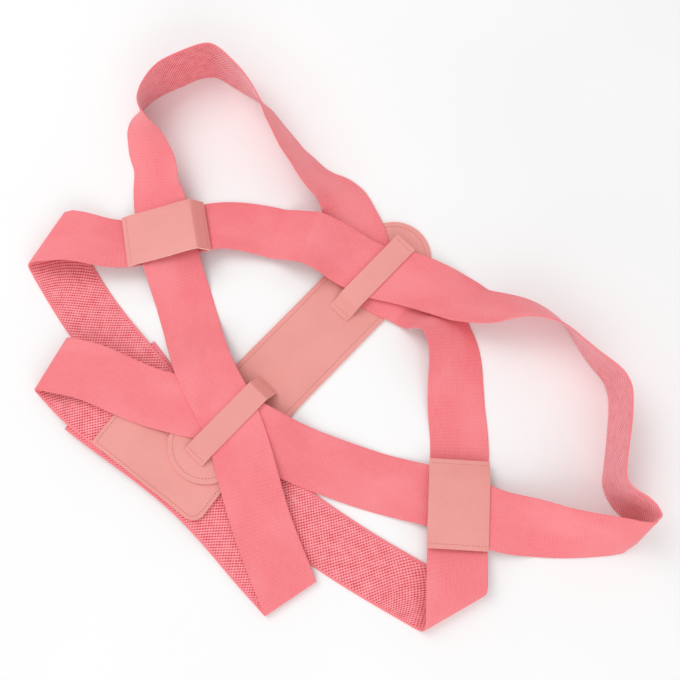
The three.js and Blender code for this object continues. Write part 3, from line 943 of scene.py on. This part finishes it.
@dataclass
class LeatherPiece:
    """A cut of coated cloth, modelled flat along X and then laid on its packed ribbon."""

    name: str
    node: str
    start_radius: float = 0.0
    end_radius: float = 0.0
    thickness: float = 1.5 * MM
    rim: float = 0.35 * MM
    rim_segments: int = 3
    # Vertices of the outline that are closer than this are merged
    weld: float = 0.05 * MM
    # The piece is cut across at least this often, so that it bends
    bend_step: float = 3.0 * MM
    # It is cut lengthwise at these shares of its width from the middle
    lengthwise_cuts: tuple[float, ...] = (-0.25, 0.0, 0.25)
    seam_inset: float = 0.0
    seam_width: float = 1.2 * MM
    seam_depth: float = 0.14 * MM
    corner_segments: int = 6
    # Faces of the flat piece whose normal rises less than this are walls, and show the cut edge
    wall_rise: float = 0.4

    def top(self) -> Band:
        """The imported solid's upper surface as a band, from its start to its end."""
        rings = faced(packed_rings(self.node), 0)
        return Band(rings[:, 0], rings[:, 1])

    def width(self) -> float:
        """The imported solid's greatest width."""
        band = self.top()
        return float(np.linalg.norm(band.right - band.left, axis=1).max())

    def lines(self) -> list[np.ndarray]:
        """The seam that runs all round the piece."""
        length, width = self.top().length, self.width()
        return [rounded_line(length, width, self.seam_inset, self.start_radius, self.end_radius)]

    def flat_cut(self) -> bpy.types.Object:
        """Model the piece flat: along X from 0, across Y, with its top at height 0.

        Returns:
            The flat piece, with a rounded rim and a pressed seam line.
        """
        length, width = self.top().length, self.width()
        deselect_all()
        bpy.ops.mesh.primitive_plane_add(size=1.0, location=(length / 2, 0.0, -self.thickness))
        piece = bpy.context.object
        piece.name = piece.data.name = self.name
        piece.scale = (length, width, 1.0)
        bpy.ops.object.transform_apply(location=True, rotation=False, scale=True)
        bpy.ops.object.mode_set(mode="EDIT")
        for radius, at_start in ((self.start_radius, True), (self.end_radius, False)):
            if radius > 0:
                select_vertices(piece, lambda p: (p[:, 0] < MM) if at_start else (p[:, 0] > length - MM))
                offset = min(radius, width / 2)
                bpy.ops.mesh.bevel(offset=offset, segments=self.corner_segments, affect="VERTICES")
        bpy.ops.mesh.select_all(action="SELECT")
        bpy.ops.mesh.remove_doubles(threshold=self.weld)
        bpy.ops.mesh.extrude_region_move(TRANSFORM_OT_translate={"value": (0, 0, self.thickness)})
        select_vertices(piece, lambda p: p[:, 2] > -TOP_REACH)
        bpy.ops.mesh.select_mode(type="FACE")
        if self.seam_inset > 0:
            bpy.ops.mesh.inset(thickness=self.seam_inset - self.seam_width / 2, depth=0)
            bpy.ops.mesh.inset(thickness=self.seam_width / 2, depth=-self.seam_depth)
            bpy.ops.mesh.inset(thickness=self.seam_width / 2, depth=self.seam_depth)
        self.round_rim(piece)
        self.cut_across(length, width)
        bpy.ops.object.mode_set(mode="OBJECT")
        return piece

    def round_rim(self, piece: bpy.types.Object) -> None:
        """Round the upper rim of a flat piece.

        Args:
            piece: The flat piece, which is in edit mode.
        """
        select_vertices(piece, lambda p: p[:, 2] > -TOP_REACH)
        bpy.ops.mesh.select_mode(type="EDGE")
        bpy.ops.object.mode_set(mode="OBJECT")
        mesh = piece.data
        walls = {
            tuple(sorted(edge))
            for polygon in mesh.polygons
            if abs(polygon.normal.z) < self.wall_rise
            for edge in polygon.edge_keys
        }
        for edge in mesh.edges:
            low = min(mesh.vertices[v].co.z for v in edge.vertices)
            edge.select = tuple(sorted(edge.vertices)) in walls and low > -TOP_REACH
        for polygon in mesh.polygons:
            polygon.select = False
        bpy.ops.object.mode_set(mode="EDIT")
        bpy.ops.mesh.bevel(offset=self.rim, segments=self.rim_segments, affect="EDGES")

    def cut_across(self, length: float, width: float) -> None:
        """Cut a flat piece into short stretches that can bend.

        Args:
            length: Length of the flat piece, which is in edit mode.
            width: Its width.
        """
        count = math.ceil(length / self.bend_step)
        for k in range(1, count):
            bpy.ops.mesh.select_all(action="SELECT")
            bpy.ops.mesh.bisect(plane_co=(length * k / count, 0, 0), plane_no=(1, 0, 0))
        for share in self.lengthwise_cuts:
            bpy.ops.mesh.select_all(action="SELECT")
            bpy.ops.mesh.bisect(plane_co=(0, share * width, 0), plane_no=(0, 1, 0))

    def lay(self, points: np.ndarray) -> np.ndarray:
        """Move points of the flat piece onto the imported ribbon's upper surface.

        Args:
            points: Rows of distance along, distance to the left and height over the top.

        Returns:
            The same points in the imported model's frame.
        """
        band = self.top().refined(1.0 * MM)
        ruling, normal = band.frames()
        middle = (band.left + band.right) / 2
        along = np.clip(points[:, 0], 0, band.length)
        read = [
            np.stack([np.interp(along, band.distance, values[:, axis]) for axis in range(3)], axis=1)
            for values in (middle, ruling, normal)
        ]
        return read[0] - unit(read[1]) * points[:, 1:2] + unit(read[2]) * points[:, 2:3]

    def build(self, coat: bpy.types.Material, edge: bpy.types.Material) -> bpy.types.Object:
        """Model the piece, lay it in place and dress it.

        Args:
            coat: Material of its faces.
            edge: Material of its cut edge.

        Returns:
            The piece's object.
        """
        piece = self.flat_cut()
        mesh = piece.data
        mesh.materials.append(coat)
        mesh.materials.append(edge)
        for polygon in mesh.polygons:
            polygon.material_index = int(abs(polygon.normal.z) < self.wall_rise)
        set_coordinates(piece, self.lay(coordinates(piece)))
        shade_smooth(piece)
        ride(piece, (self.node,))
        return piece


@dataclass
class Stitching:
    """Lockstitches along lines on a leather piece."""

    pitch: float = 2.6 * MM
    stitch: float = 1.6 * MM
    radius: float = 0.3 * MM
    segments: int = 6
    turns: int = 4

    def template(self) -> tuple[np.ndarray, list[tuple[int, ...]]]:
        """Model one stitch along X, as a grain with round ends.

        Returns:
            Its points and its faces.
        """
        deselect_all()
        bpy.ops.mesh.primitive_uv_sphere_add(segments=self.segments, ring_count=self.turns, radius=1.0)
        grain = bpy.context.object
        bpy.ops.object.mode_set(mode="EDIT")
        bpy.ops.mesh.select_all(action="SELECT")
        bpy.ops.transform.resize(value=(self.radius, self.radius, self.stitch / 2))
        bpy.ops.object.mode_set(mode="OBJECT")
        points = coordinates(grain)[:, [2, 0, 1]]
        faces = [tuple(polygon.vertices) for polygon in grain.data.polygons]
        bpy.data.objects.remove(grain)
        return points, faces

    def sew(self, leather: LeatherPiece, thread: bpy.types.Material) -> bpy.types.Object:
        """Sew stitches along a leather piece's seams, half sunk in its top.

        Args:
            leather: The piece that they go through.
            thread: Material of the thread.

        Returns:
            One object with all the stitches.
        """
        points, faces = self.template()
        placed, copied = [], []
        for line in leather.lines():
            steps = np.linalg.norm(np.diff(line, axis=0), axis=1)
            at = np.concatenate([[0.0], np.cumsum(steps)])
            count = max(1, round(at[-1] / self.pitch))
            for k in range(count):
                middle = at[-1] * (k + 0.5) / count
                back, here, front = [
                    np.array([np.interp(middle + reach, at, line[:, axis]) for axis in range(2)])
                    for reach in (-self.stitch / 2, 0.0, self.stitch / 2)
                ]
                heading = unit(front - back)
                left = np.array([-heading[1], heading[0]])
                flat = here + np.outer(points[:, 0], heading) + np.outer(points[:, 1], left)
                number = len(placed) * len(points)
                placed.append(np.column_stack([flat, points[:, 2]]))
                copied.extend(tuple(number + v for v in face) for face in faces)
        made = new_object(f"{leather.name}_stitches", leather.lay(np.concatenate(placed)), copied)
        made.data.materials.append(thread)
        made.data.shade_smooth()
        ride(made)
        return made


def rounded_line(
    length: float, width: float, inset: float, start_radius: float, end_radius: float, steps: int = 16
) -> np.ndarray:
    """Give the closed line that runs a fixed distance inside a rounded piece's outline.

    Args:
        length: The piece's length.
        width: The piece's width.
        inset: Distance of the line from the outline.
        start_radius: Corner radius at the start.
        end_radius: Corner radius at the end.
        steps: Steps round each corner.

    Returns:
        Rows of distance along and to the left, with the last equal to the first.
    """
    corners = (
        (0.0, -1, start_radius, 180),
        (length, -1, end_radius, 270),
        (length, 1, end_radius, 0),
        (0.0, 1, start_radius, 90),
    )
    rows = []
    for end, side, radius, first in corners:
        inner = max(radius - inset, SHARPEST_TURN)
        x = end + (inset + inner) * (1 if end == 0.0 else -1)
        y = side * (width / 2 - inset - inner)
        for k in range(steps + 1):
            turn = math.radians(first + 90 * k / steps)
            rows.append((x + inner * math.cos(turn), y + inner * math.sin(turn)))
    return np.array([*rows, rows[0]])


@dataclass
class BackPanel(LeatherPiece):
    """The long padded panel that lies on the wearer's back."""

    start_radius: float = 33 * MM
    end_radius: float = 33 * MM
    thickness: float = 2.4 * MM
    seam_inset: float = 4.5 * MM
    corner_segments: int = 14


@dataclass
class SewnBand(LeatherPiece):
    """A keeper or slider patch: a band that is sewn down at both of its ends."""

    start_radius: float = 1.2 * MM
    end_radius: float = 1.2 * MM
    corner_segments: int = 3
    end_seam: float = 4.0 * MM
    side_margin: float = 1.5 * MM

    def lines(self) -> list[np.ndarray]:
        """A straight seam across each end."""
        length, half = self.top().length, self.width() / 2 - self.side_margin
        return [np.array([(at, -half), (at, half)]) for at in (self.end_seam, length - self.end_seam)]


@dataclass
class ClosingTab(LeatherPiece):
    """A closing tab: coated cloth on top, with hook pile under it."""

    seam_inset: float = 3.2 * MM
    end_radius: float = 11 * MM
    tuck: float = 13 * MM
    pile_thickness: float = 1.3 * MM
    pile_margin: float = 0.8 * MM
    pile_gap: float = 0.02 * MM
    pile_rim: float = 0.3 * MM

    def pile(self, material: bpy.types.Material) -> bpy.types.Object:
        """Build the hook pile under the tab, from the tucked strap's end onwards.

        Args:
            material: Material of the pile.

        Returns:
            The pile's object.
        """
        length, width = self.top().length, self.width()
        radius = self.end_radius - self.pile_margin
        under = LeatherPiece(f"{self.name}_hook_pile", self.node, end_radius=radius, rim=self.pile_rim)
        piece = under.flat_cut()
        points = coordinates(piece)
        points[:, 0] = self.tuck + points[:, 0] * (length - self.pile_margin - self.tuck) / length
        points[:, 1] *= (width - 2 * self.pile_margin) / width
        points[:, 2] *= self.pile_thickness / under.thickness
        points[:, 2] -= self.thickness + self.pile_gap
        set_coordinates(piece, self.lay(points))
        piece.data.materials.append(material)
        shade_smooth(piece)
        ride(piece)
        return piece


@dataclass(frozen=True)
class Softbox:
    """A square softbox: its name, where it hangs, the length of its side and its power in watts."""

    name: str
    place: tuple[float, float, float]
    size: float
    power: float

    def hang(self) -> None:
        """Hang it so that it faces the middle of the object."""
        data = bpy.data.lights.new(self.name, "AREA")
        data.size = self.size
        data.energy = self.power
        light = bpy.data.objects.new(self.name, data)
        light.location = self.place
        light.rotation_euler = Vector(self.place).to_track_quat("Z", "Y").to_euler()
        bpy.context.scene.collection.objects.link(light)


@dataclass
class Studio:
    """Camera, floor and lights."""

    # The camera's place, from the middle of the back panel on the table
    camera_place: tuple[float, float, float] = (32.0 * MM, -147.4 * MM, 733.6 * MM)
    camera_tilt: float = 12.0
    lens: float = 45.1
    sensor: float = 36.0
    floor_size: float = 6.0
    floor_drop: float = 0.3 * MM
    room_light: float = 0.68
    softboxes: tuple[Softbox, ...] = (
        Softbox("key_softbox", (-0.9, 0.8, 1.6), 1.2, 13.0),
        Softbox("fill_softbox", (0.3, -1.5, 0.9), 1.4, 9.0),
    )

    def camera(self) -> None:
        """Place the camera where the photograph was taken from."""
        data = bpy.data.cameras.new("camera")
        data.lens = self.lens
        data.sensor_width = self.sensor
        camera = bpy.data.objects.new("camera", data)
        middle = packed_rings("back_panel")[[0, -1]].mean(axis=(0, 1))
        middle[2] = 0.0
        camera.location = Vector(middle) + Vector(self.camera_place)
        camera.rotation_euler = (math.radians(self.camera_tilt), 0.0, 0.0)
        bpy.context.scene.collection.objects.link(camera)
        bpy.context.scene.camera = camera

    def floor(self, sweep: TableTop) -> None:
        """Lay the plain pale floor under the object.

        Args:
            sweep: The finish of the floor.
        """
        deselect_all()
        bpy.ops.mesh.primitive_plane_add(size=self.floor_size, location=(0, 0, -self.floor_drop))
        floor = bpy.context.object
        floor.name = "floor"
        floor.data.materials.append(sweep.material())

    def lights(self) -> None:
        """Light the object from a bright room and two large softboxes."""
        world = bpy.data.worlds.new("studio")
        world.use_nodes = True
        background = world.node_tree.nodes["Background"]
        background.inputs["Color"].default_value = (1.0, 1.0, 1.0, 1.0)
        background.inputs["Strength"].default_value = self.room_light
        bpy.context.scene.world = world
        bpy.context.scene.view_settings.view_transform = "Standard"
        for softbox in self.softboxes:
            softbox.hang()


def main() -> None:
    """Build every piece of the posture corrector, and the studio round it."""
    logging.basicConfig(level=logging.INFO, format="%(name)s: %(message)s")
    studio = Studio()
    studio.camera()
    studio.floor(TableTop())
    studio.lights()

    face, reverse = RibbedElastic().material(), OpenMesh().material()
    coat, edge = FauxLeather().material(), CutEdge().material()
    thread, hooks = SewingThread().material(), HookPile().material()
    stitching = Stitching()

    lengths = ("waist", "slide", "loop", "shoulder", "chest")
    for side in ("left", "right"):
        nodes = tuple(f"{side}_strap_{length}" for length in lengths)
        Strap(f"{side}_strap", nodes, rests_on=("back_panel",)).build(face, reverse)

    pieces: list[LeatherPiece] = [
        BackPanel("panel", "back_panel"),
        SewnBand("keeper_upper", "upper_keeper"),
        SewnBand("keeper_lower", "lower_keeper"),
        SewnBand("slider_left", "left_slider"),
        SewnBand("slider_right", "right_slider"),
        ClosingTab("tab_waist", "waist_tab"),
        ClosingTab("tab_chest", "chest_tab"),
    ]
    for piece in pieces:
        piece.build(coat, edge)
        stitching.sew(piece, thread)
        if isinstance(piece, ClosingTab):
            piece.pile(hooks)


if __name__ == "__main__":
    main()
